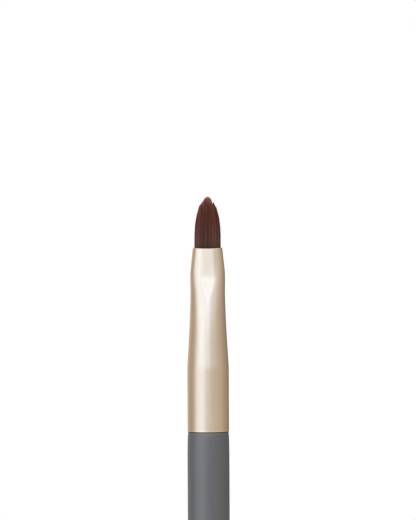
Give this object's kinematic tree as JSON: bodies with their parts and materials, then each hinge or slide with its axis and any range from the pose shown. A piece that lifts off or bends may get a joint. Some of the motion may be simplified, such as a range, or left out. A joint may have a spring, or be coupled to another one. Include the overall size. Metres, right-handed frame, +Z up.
{
  "type": "lip brush",
  "caption": "Slim lip brush with a tapering round handle, a metal ferrule that runs from a round barrel to a pressed oval mouth, and a short rounded, slightly flattened tuft.",
  "frame": {"origin": "on the surface it rests on, in the middle of the brush's length and width; the brush lies balanced on the belly of its handle", "axes": "+Y along the brush towards the tip of the tuft, +Z up, out of a broad face of the ferrule and tuft, X across the broad faces"},
  "size_m": [0.007, 0.1574, 0.0071],
  "materials": {
    "handle_lacquer": "satin grey lacquer",
    "ferrule_metal": "satin champagne",
    "filament": "fine satin",
    "cured_resin": "clear amber, out of sight"
  },
  "bodies": {
    "root": {"handle": "handle_lacquer", "ferrule": "ferrule_metal", "bristle_tuft": "filament", "resin_plug": "cured_resin"}
  },
  "joints": []
}
